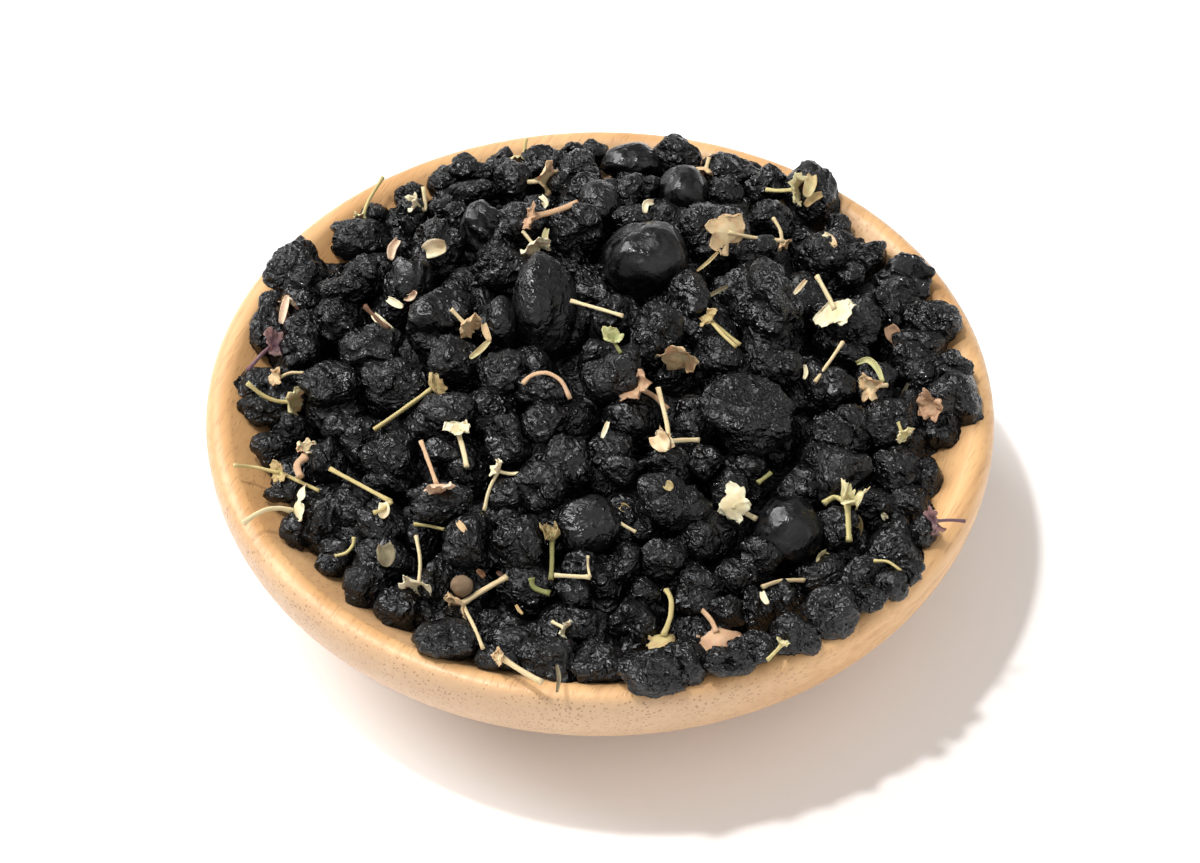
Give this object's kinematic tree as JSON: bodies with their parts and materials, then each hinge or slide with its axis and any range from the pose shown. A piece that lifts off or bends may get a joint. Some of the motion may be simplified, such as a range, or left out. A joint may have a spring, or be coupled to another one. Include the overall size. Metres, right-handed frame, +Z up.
{
  "type": "bowl of dried black goji berries",
  "caption": "Small round turned wooden bowl filled to a low heap with wrinkled dried black goji berries and their thin dried stems and papery calyxes.",
  "frame": {"origin": "centre of the bowl's foot, on the surface it stands on", "axes": "+Z up along the bowl's axis, +X to the right and +Y away in the picture's view"},
  "size_m": [0.11, 0.11, 0.0451],
  "materials": {
    "wood": "satin pale hardwood with open pores",
    "berry_skin": "wrinkled black dried skin, matte to satin",
    "stem_cream": "dry and matte",
    "stem_straw": "dry and matte",
    "stem_green": "dry and matte",
    "stem_peach": "dry and matte",
    "stem_brown": "dry and matte",
    "stem_mauve": "dry and matte"
  },
  "bodies": {
    "root": {"bowl": "wood", "berry_heap": "berry_skin", "stem_back_left": "stem_straw", "stem_back_pair": "stem_cream", "stem_back_upright": "stem_straw", "calyx_back_vase": "stem_cream", "stem_back_thick": "stem_peach", "stem_back_short": "stem_cream", "stem_back_star": "stem_cream", "stem_back_right": "stem_cream", "stem_back_sepals": "stem_straw", "stem_back_stub": "stem_cream", "calyx_left_pink": "stem_peach", "stem_left_purple": "stem_mauve", "stem_left_curl": "stem_cream", "stem_left_curved": "stem_straw", "stem_left_brown": "stem_brown", "stem_middle_left": "stem_cream", "stem_middle_loose": "stem_cream", "sepal_middle_arc": "stem_peach", "stem_middle_long": "stem_straw", "calyx_middle_green": "stem_green", "stem_middle_peach": "stem_peach", "stem_middle_tall": "stem_cream", "calyx_middle_fan": "stem_cream", "stem_middle_fork": "stem_straw", "stem_right_cream": "stem_cream", "stem_right_loose": "stem_cream", "calyx_right_crumpled": "stem_cream", "calyx_right_rim": "stem_peach", "calyx_right_green": "stem_straw", "stem_rim_long": "stem_cream", "stem_rim_sepals": "stem_straw", "calyx_left_pale": "stem_cream", "calyx_left_peach": "stem_peach", "stem_front_left_straight": "stem_straw", "stem_front_mushroom": "stem_cream", "stem_front_orange": "stem_peach", "stem_front_thin": "stem_cream", "stem_front_hook": "stem_straw", "stem_front_left_bent": "stem_cream", "stem_front_left_loose": "stem_straw", "stem_front_green": "stem_green", "stem_front_bar": "stem_cream", "sepal_front_green": "stem_green", "stem_front_double": "stem_cream", "stem_front_low": "stem_cream", "calyx_front_small": "stem_cream", "stem_front_stub": "stem_cream", "stem_front_right_disc": "stem_cream", "stem_right_green_stub": "stem_green", "calyx_right_curved": "stem_straw", "stem_right_arc": "stem_straw", "stem_right_rim": "stem_mauve", "stem_front_right_arc": "stem_cream", "stem_front_curved": "stem_straw", "stem_front_pink": "stem_peach", "stem_front_right_low": "stem_straw"}
  },
  "joints": []
}
